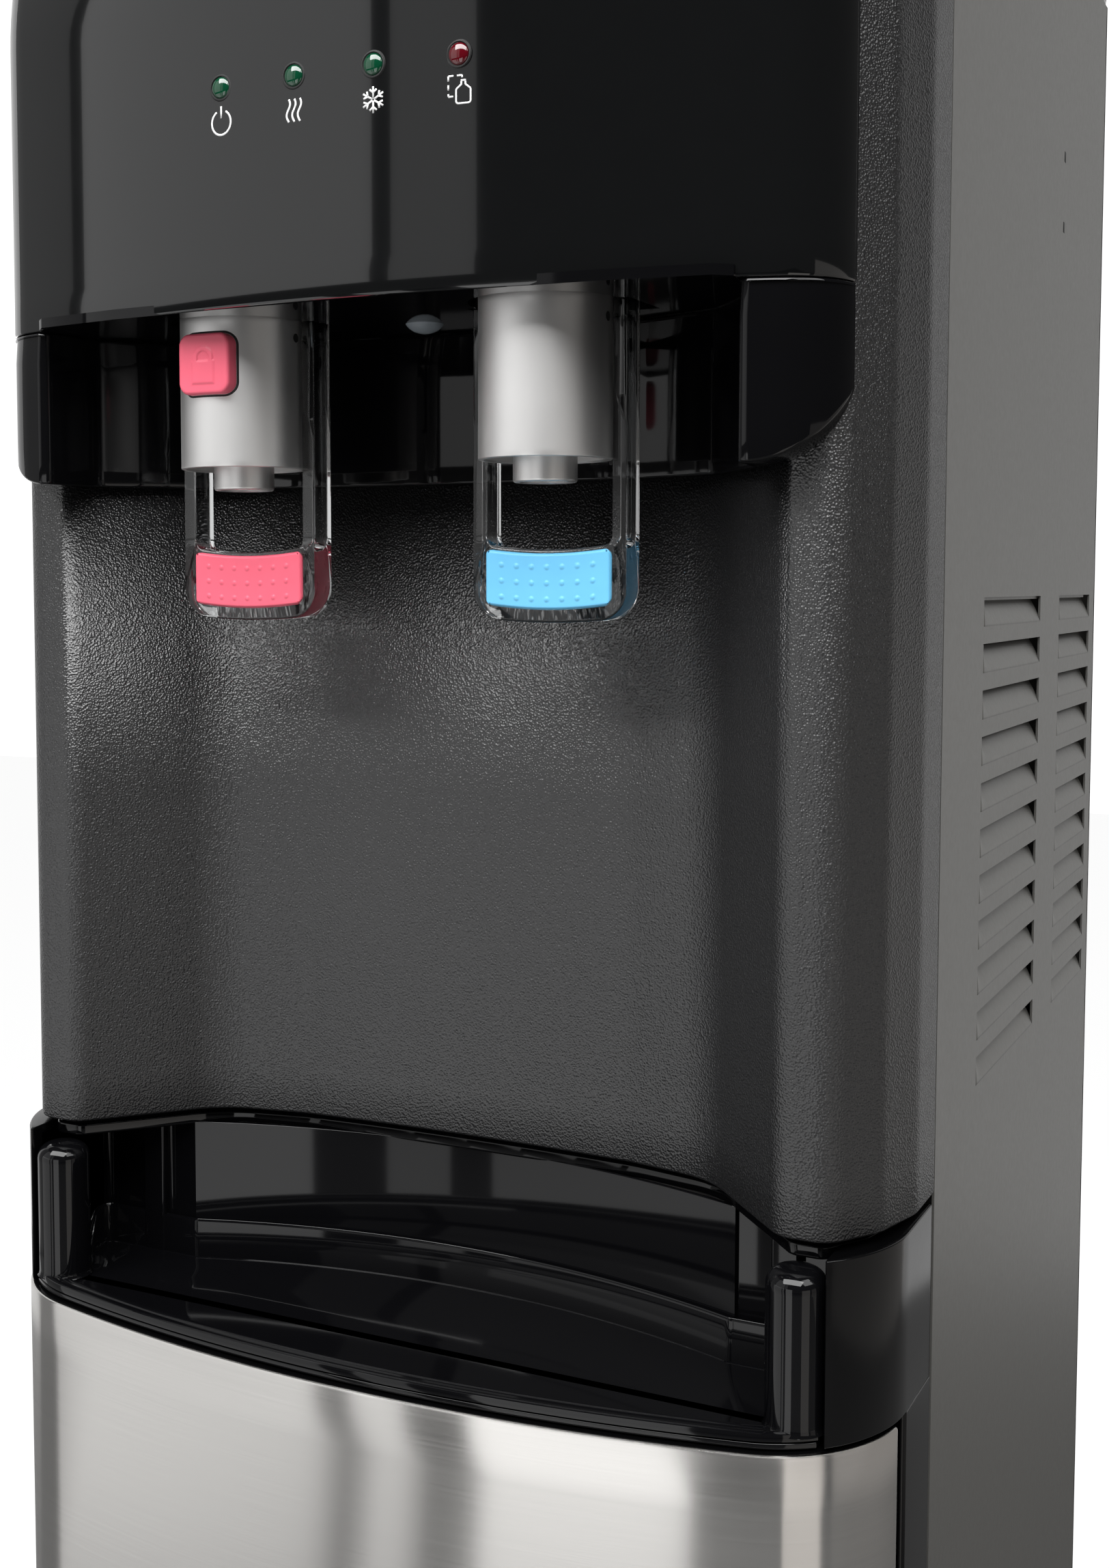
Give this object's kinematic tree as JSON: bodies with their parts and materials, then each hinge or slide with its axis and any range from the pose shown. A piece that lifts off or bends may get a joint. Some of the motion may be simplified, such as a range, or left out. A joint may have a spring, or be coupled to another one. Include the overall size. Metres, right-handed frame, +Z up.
{
  "type": "bottom-loading water dispenser",
  "caption": "Floor-standing hot and cold water dispenser with lever taps, a drip tray in a niche and a bottle cabinet behind a steel door.",
  "frame": {"origin": "on the floor, under the middle of the bounding box", "axes": "+Z up, the taps and the door face -Y, +X is to the right for someone facing the dispenser"},
  "size_m": [0.31, 0.3688, 1.04],
  "materials": {
    "base_frame": "fine grain",
    "levelling_feet": "matt",
    "left_side_panel": "satin grey",
    "right_side_panel": "satin grey",
    "rear_panel": "satin grey",
    "condenser_coil": "black enamel",
    "condenser_wires": "black enamel",
    "top_cover": "satin",
    "head_cover": "satin gloss charcoal",
    "front_panel": "leather grain",
    "tap_surround": "high gloss",
    "night_light_lens": "frosted",
    "lower_frame": "satin",
    "niche_liner": "high gloss",
    "cabinet_liner": "satin white",
    "machine_shelves": "zinc grey",
    "tap_carrier": "satin white",
    "hot_tap_body": "satin silver",
    "cold_tap_body": "satin silver",
    "hot_nozzle": "satin silver",
    "cold_nozzle": "satin silver",
    "power_led": "clear green dome",
    "heating_led": "clear green dome",
    "cooling_led": "clear green dome",
    "empty_bottle_led": "clear red dome",
    "control_board": "solder mask",
    "hot_tank": "mill",
    "cold_tank": "mill",
    "cold_tank_jacket": "foam",
    "compressor": "black enamel",
    "pump": "satin",
    "water_hoses": "translucent silicone",
    "probe_holder": "satin white",
    "power_gland": "satin",
    "drain_cap": "satin",
    "paddle_pins": "polished",
    "door_hinge_pins": "polished",
    "door_catch": "satin",
    "switch_housing": "satin",
    "rear_screws": "zinc",
    "hot_switch": "gloss red",
    "cold_switch": "gloss green",
    "night_light_switch": "gloss black",
    "door_skin": "horizontal brush",
    "door_inner": "satin black",
    "door_top_cap": "satin black",
    "door_bottom_cap": "satin black",
    "door_hinge_bushes": "satin white",
    "door_strike": "zinc",
    "drip_tray": "high gloss",
    "hot_paddle": "clear acrylic",
    "hot_pad": "satin pink",
    "cold_paddle": "clear acrylic",
    "cold_pad": "satin sky blue",
    "hot_valve_stem": "satin",
    "cold_valve_stem": "satin",
    "child_lock_button": "satin pink",
    "probe_cap": "satin blue",
    "suction_tube": "drawn tube"
  },
  "bodies": {
    "cabinet": {"base_frame": "base_frame", "levelling_feet": "levelling_feet", "left_side_panel": "left_side_panel", "right_side_panel": "right_side_panel", "rear_panel": "rear_panel", "condenser_coil": "condenser_coil", "condenser_wires": "condenser_wires", "top_cover": "top_cover", "head_cover": "head_cover", "front_panel": "front_panel", "tap_surround": "tap_surround", "night_light_lens": "night_light_lens", "lower_frame": "lower_frame", "niche_liner": "niche_liner", "cabinet_liner": "cabinet_liner", "machine_shelves": "machine_shelves", "tap_carrier": "tap_carrier", "hot_tap_body": "hot_tap_body", "cold_tap_body": "cold_tap_body", "hot_nozzle": "hot_nozzle", "cold_nozzle": "cold_nozzle", "power_led": "power_led", "heating_led": "heating_led", "cooling_led": "cooling_led", "empty_bottle_led": "empty_bottle_led", "control_board": "control_board", "hot_tank": "hot_tank", "cold_tank": "cold_tank", "cold_tank_jacket": "cold_tank_jacket", "compressor": "compressor", "pump": "pump", "water_hoses": "water_hoses", "probe_holder": "probe_holder", "power_gland": "power_gland", "paddle_pins": "paddle_pins", "door_hinge_pins": "door_hinge_pins", "door_catch": "door_catch", "switch_housing": "switch_housing", "rear_screws": "rear_screws"},
    "door": {"door_skin": "door_skin", "door_inner": "door_inner", "door_top_cap": "door_top_cap", "door_bottom_cap": "door_bottom_cap", "door_hinge_bushes": "door_hinge_bushes", "door_strike": "door_strike"},
    "tray": {"drip_tray": "drip_tray"},
    "hot_lever": {"hot_paddle": "hot_paddle", "hot_pad": "hot_pad"},
    "cold_lever": {"cold_paddle": "cold_paddle", "cold_pad": "cold_pad"},
    "hot_valve": {"hot_valve_stem": "hot_valve_stem"},
    "cold_valve": {"cold_valve_stem": "cold_valve_stem"},
    "child_lock": {"child_lock_button": "child_lock_button"},
    "probe": {"probe_cap": "probe_cap", "suction_tube": "suction_tube"},
    "drain_plug": {"drain_cap": "drain_cap"},
    "hot_rocker": {"hot_switch": "hot_switch"},
    "cold_rocker": {"cold_switch": "cold_switch"},
    "light_rocker": {"night_light_switch": "night_light_switch"}
  },
  "joints": [
    {"name": "door_hinge", "type": "hinge", "parent": "cabinet", "child": "door", "pos_m": [-0.143, -0.136, 0.3], "axis": [0, 0, -1], "range_deg": [0, 95]},
    {"name": "tray_slide", "type": "slide", "parent": "cabinet", "child": "tray", "axis": [0, -1, 0], "range_m": [0, 0.12]},
    {"name": "hot_lever_pivot", "type": "hinge", "parent": "cabinet", "child": "hot_lever", "pos_m": [-0.0524, -0.142, 0.905], "axis": [1, 0, 0], "range_deg": [0, 8], "stiffness_Nm_per_rad": 0.8, "springref_deg": -5.73},
    {"name": "cold_lever_pivot", "type": "hinge", "parent": "cabinet", "child": "cold_lever", "pos_m": [0.0524, -0.142, 0.905], "axis": [1, 0, 0], "range_deg": [0, 8], "stiffness_Nm_per_rad": 0.8, "springref_deg": -5.73},
    {"name": "hot_valve_slide", "type": "slide", "parent": "cabinet", "child": "hot_valve", "axis": [0, 1, 0], "range_m": [0, 0.0026]},
    {"name": "cold_valve_slide", "type": "slide", "parent": "cabinet", "child": "cold_valve", "axis": [0, 1, 0], "range_m": [0, 0.0026]},
    {"name": "child_lock_press", "type": "slide", "parent": "cabinet", "child": "child_lock", "axis": [0, 1, 0], "range_m": [0, 0.0015], "stiffness_N_per_m": 600, "springref_m": -0.0005},
    {"name": "probe_lift_off", "type": "slide", "parent": "cabinet", "child": "probe", "axis": [0, 0, -1], "range_m": [0, 0.04]},
    {"name": "drain_cap_off", "type": "slide", "parent": "cabinet", "child": "drain_plug", "axis": [0, 1, 0], "range_m": [0, 0.02]},
    {"name": "hot_rocker_tilt", "type": "hinge", "parent": "cabinet", "child": "hot_rocker", "pos_m": [0.078, 0.16, 0.88], "axis": [1, 0, 0], "range_deg": [-8, 0]},
    {"name": "cold_rocker_tilt", "type": "hinge", "parent": "cabinet", "child": "cold_rocker", "pos_m": [0.1, 0.16, 0.88], "axis": [1, 0, 0], "range_deg": [-8, 0]},
    {"name": "light_rocker_tilt", "type": "hinge", "parent": "cabinet", "child": "light_rocker", "pos_m": [0.122, 0.16, 0.88], "axis": [1, 0, 0], "range_deg": [-8, 0]}
  ],
  "couplings": [
    {"joint": "hot_valve_slide", "follows": "hot_lever_pivot", "m_per_rad": 0.017},
    {"joint": "cold_valve_slide", "follows": "cold_lever_pivot", "m_per_rad": 0.017}
  ]
}
